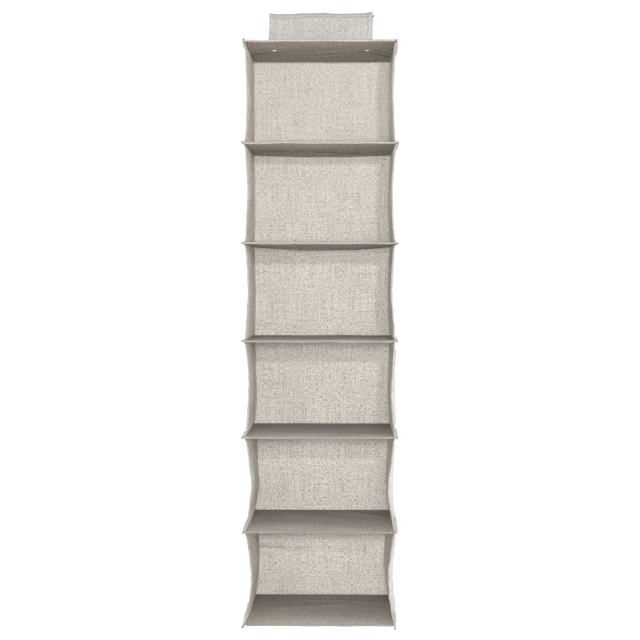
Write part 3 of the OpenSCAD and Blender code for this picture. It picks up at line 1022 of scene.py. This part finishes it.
def make_strap():
    """The strap's front leg, arc and rear flap: one band with hems."""
    path = strap_path()
    run = run_along(path)
    tangent = np.gradient(path, axis=0)
    tangent /= np.linalg.norm(tangent, axis=1, keepdims=True)
    out = np.stack([-tangent[:, 1], tangent[:, 0]], 1)
    half = STRAP_W / 2
    xs = edge_spaced(-half, half, 84, 1.6 * MM)
    seam = STRAP_HEM - STITCH_IN
    around_hem = seam + np.array([-1.2, -0.6, 0, 0.6, 1.2, 1.8]) * MM
    xs = np.sort(np.concatenate([xs, -half + around_hem, half - around_hem]))
    X, R = np.meshgrid(xs, run, indexing="ij")
    top_run = run[-1] * 0.46
    near_top = bell(R - top_run, 22 * MM)
    held = smooth(R / (16 * MM))
    bulge = two_ripples(900, X, R, (1.1, 0.09), (0.35, 0.03)) * held * (1 - 0.7 * near_top)
    rear = smooth((R - run[FLAP_START]) / (12 * MM))
    bulge = bulge * (1 - rear) + np.maximum(bulge, 0) * 0.5 * rear
    fold_run = top_run - 7 * MM + 2 * MM * ripples(907, X, X * 0, 0.12)
    fold_line = bell(R - fold_run, 1.6 * MM)
    bulge = bulge - 1.1 * MM * fold_line
    folded = np.maximum(hem_share(half - np.abs(X)), hem_share(run[-1] - R))
    bulge = bulge + 0.55 * MM * folded * rear
    P = path[None, :, :] + out[None, :, :] * bulge[..., None]
    side_wave = 1.2 * MM * ripples(903, R, R * 0, 0.045) * (np.abs(X) / half) ** 6
    middle = np.stack([X + side_wave, P[..., 0], P[..., 1] + strap_droop(X, near_top)], -1)
    rim = np.minimum(half - np.abs(X), run[-1] - R)
    groove = bell(half - np.abs(X) - seam, 0.8 * MM)
    thick = (STRAP_T + 1.1 * MM * folded - 1.0 * MM * groove) * rounded(np.maximum(rim, 0), 1.3 * MM)
    weave = np.stack([X + 3.1, R], -1)
    build = Build()
    # Painted shade in the hem's stitch grooves and along the fold under the top
    upper, under = add_sheet(build, middle, thick, weave, 0, 0.5 * groove + 0.4 * fold_line)
    for side in (LEFT, RIGHT):
        for inset in (seam, EDGE_STITCH_IN):
            stitch_both(build, upper, under, nearest(xs, side * (half - inset)))
    stitch_both(build, upper, under, np.s_[:, nearest(run, run[-1] - seam)])
    foot = nearest(run, 3.0 * MM)
    stitch_row(build, upper[:, foot], surface_normals(upper)[:, foot], 1)
    obj = build.piece("rod_strap_linen", [CLOTH_STRAP, THREAD])
    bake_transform(obj)
    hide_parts("strap_band", "strap_flap")


def leg_strip(name, node, n_mid, u_start, u_end, width, thickness, material, hem, body, seed):
    """A flat strip along the rear leg: the tab or a tape, with stitches round it."""
    us = edge_spaced(u_start, u_end, 20, 0.8 * MM)
    xs = edge_spaced(-width / 2, width / 2, 60, 0.8 * MM)
    X, U = np.meshgrid(xs, us, indexing="ij")
    wave = 0.12 * MM * ripples(seed, X, U, 0.05)
    middle = np.stack([X, *leg_point(n_mid + wave, U)], -1)
    rim = np.minimum(width / 2 - np.abs(X), np.minimum(U - u_start, u_end - U))
    thick = thickness * rounded(np.maximum(rim, 0), 0.7 * MM)
    weave = np.stack([X + 5.3, U], -1)
    build = Build()
    upper, under = add_sheet(build, middle, thick, weave)
    along = [nearest(xs, side * (width / 2 - hem)) for side in (LEFT, RIGHT)]
    across = [np.s_[:, nearest(us, end)] for end in (u_start + hem, u_end - hem)]
    for line in along + across:
        stitch_both(build, upper, under, line)
    slot = "linen_cloth" if material is CLOTH_STRAP else "hook_and_loop"
    fasten(build.piece(name, [material, THREAD]), body, slot, node)


def make_closure():
    """The rear tab and the two tapes, each inside the plies that the frame gives it."""
    tape_t = 0.9 * MM
    gap = 0.05 * MM
    hook_n = ROD_R - gap - tape_t / 2
    loop_n = hook_n - tape_t - gap
    tab_n = loop_n - tape_t / 2 - gap - STRAP_T / 2
    width = high("hook_tape")[0] - low("hook_tape")[0]
    tape_end = leg_length(ROD_R, low("hook_tape")[2]) - 0.5 * MM
    tape_start = tape_end - 29 * MM
    tape = (tape_start, tape_end, width, tape_t * 0.9)
    tab = (tape_start - 2 * MM, leg_length(tab_n, TOP_Z), STRAP_W, STRAP_T)
    leg_strip("hook_tape_pile", "hook_tape", hook_n, *tape, HOOK, 1.8 * MM, "flap", 920)
    leg_strip("loop_tape_pile", "loop_tape", loop_n, *tape, LOOP, 1.8 * MM, "top", 921)
    leg_strip("rear_tab_linen", "strap_rear_tab", tab_n, *tab, CLOTH_STRAP, 3.0 * MM, "top", 922)


def make_tacks():
    """Bar tacks: short satin stitches side by side, under the top panel."""
    lo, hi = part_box("bar_tacks")
    bar = 7 * MM
    count = 15
    build = Build()
    step = np.arange(count)
    slant = 0.25 * MM * np.where(step % 2, 1, -1)
    for side in (LEFT, RIGHT):
        x = side * (hi[0] - bar / 2) + ((step + 0.5) / count - 0.5) * bar
        z = PANEL_Z[0] - PANEL_T / 2 - panel_offsets(0, x, x * 0 + lo[1], False) - 0.2 * MM
        starts = np.stack([x - slant, x * 0 + lo[1], z], 1)
        ends = np.stack([x + slant, x * 0 + hi[1], z], 1)
        add_threads(build, starts, ends, [[0, 0, -1.0 * MM]] * count, 0.36 * MM, 0, sides=6)
    fasten(build.piece("bar_tack_stitches", [TACK_THREAD]), "top", "thread", "bar_tacks")


def make_thread_tail():
    """A loose end of thread at the strap's right edge."""
    build = Build()
    start = np.array([STRAP_W / 2 - 0.5 * MM, -12 * MM, 11 * MM])
    bends = [[0, 0, -3.0], [1.4, -0.6, -1.6], [2.0, -1.0, 0.0], [2.9, -1.2, 1.2], [4.6, -1.0, 1.8]]
    points = start + np.array(bends) * MM
    add_threads(build, points[:-1], points[1:], [[0, 0, 0.02 * MM]] * 4, 1.15 * MM, 0)
    fasten(build.piece("loose_thread_end", [DARK_THREAD]), "top", "thread")


# ---- stage, light and camera ----

CAMERA_DISTANCE = 3.081       # from the front plane
EYE_Z = BASE_Z + 0.705
CAMERA_X = 0.050
AIM_Z = BASE_Z + 0.623
LENS = 85.8
FLOOR_DROP = 0.45             # the organizer hangs this far above the floor
FLOOR_REACH = 9.0
MIDDLE = (0, 0, (TOP_Z + BASE_Z) / 2)
# Soft lights: place, target, width and height, watts
SOFT_LIGHTS = {
    "front": ((0.05, -3.3, EYE_Z + 0.06), MIDDLE, (0.3, 0.3), 83),
    "side_right": ((2.165, -1.25, MIDDLE[2]), MIDDLE, (0.8, 1.6), 16),
    "side_left": ((-1.05, -3.0, BASE_Z + 0.35), (0.08, 0, BASE_Z + 0.4), (0.5, 0.5), 7.5),
    "behind": ((-1.4, 3.2, MIDDLE[2] + 1.0), MIDDLE, (1.6, 1.6), 60),
}


def make_stage():
    """A plain flat floor, almost white to the camera and pale grey to the light."""
    g = material_graph("pale_floor")
    shine = g.node("ShaderNodeEmission", {"Color": (1.0, 1.0, 1.0, 1.0), "Strength": 1.12})
    matt = g.node("ShaderNodeBsdfDiffuse", {"Color": (0.86, 0.86, 0.855, 1.0)})
    g.finish(g.by_camera_ray(matt, shine, 0.86))
    mesh = bpy.data.meshes.new("floor")
    corners = [(FLOOR_REACH * x, FLOOR_REACH * y, BASE_Z - FLOOR_DROP)
               for x, y in ((-1, -1), (1, -1), (1, 1), (-1, 1))]
    mesh.from_pydata(corners, [], [(0, 1, 2, 3)])
    mesh.materials.append(g.owner)
    place_object("floor", mesh)


def make_world(front=0.85, rear=0.6):
    """White to the camera. It lights the scene with strength front from the front, fading to rear."""
    world = bpy.data.worlds.new("studio")
    bpy.context.scene.world = world
    g = Graph(world)
    place = g.node("ShaderNodeTexCoord").outputs["Generated"]
    facing = g.node("ShaderNodeSeparateXYZ", {0: place}).outputs[1]
    spread = {"Value": facing, "From Min": -0.35, "From Max": 0.35, "To Min": front, "To Max": rear}
    strength = g.node("ShaderNodeMapRange", spread, interpolation_type="SMOOTHSTEP").outputs[0]
    glow = g.node("ShaderNodeBackground", {"Color": (0.98, 0.99, 1.0, 1.0), "Strength": strength})
    seen = g.node("ShaderNodeBackground", {"Color": (1.0, 1.0, 1.0, 1.0), "Strength": 1.05})
    g.finish(g.by_camera_ray(glow, seen), "ShaderNodeOutputWorld")


def aim(obj, place, target):
    """Put a lamp or the camera at a place, facing a target."""
    obj.location = place
    obj.rotation_mode = "QUATERNION"
    obj.rotation_quaternion = (Vector(target) - obj.location).to_track_quat("-Z", "Y")


def make_lights():
    for name, (place, target, size, watts) in SOFT_LIGHTS.items():
        data = bpy.data.lights.new(name, "AREA")
        data.shape = "RECTANGLE"
        data.size, data.size_y = size
        data.energy = watts
        aim(place_object(name, data), place, target)
    key = bpy.data.lights.new("key", "SPOT")
    key.energy = 145
    key.spot_size = math.radians(44)
    key.spot_blend = 1.0
    key.shadow_soft_size = 0.04
    aim(place_object("key", key), (0.42, -3.35, -0.065), (0, FRONT_Y, -0.1))


def make_camera():
    data = bpy.data.cameras.new("camera")
    data.lens = LENS
    data.sensor_width = 36
    camera = place_object("camera", data)
    aim(camera, (CAMERA_X, FRONT_Y - CAMERA_DISTANCE, EYE_Z), (0, FRONT_Y, AIM_Z))
    bpy.context.scene.camera = camera


# ---- assembly ----

SETTLED = settle_walls()
for level in range(7):
    make_panel(level)
for level in range(6):
    make_side(level, LEFT)
    make_side(level, RIGHT)
    make_back(level)
make_strap()
make_closure()
make_tacks()
make_thread_tail()
make_stage()
make_world()
make_lights()
make_camera()
bpy.context.scene.view_settings.view_transform = "Standard"
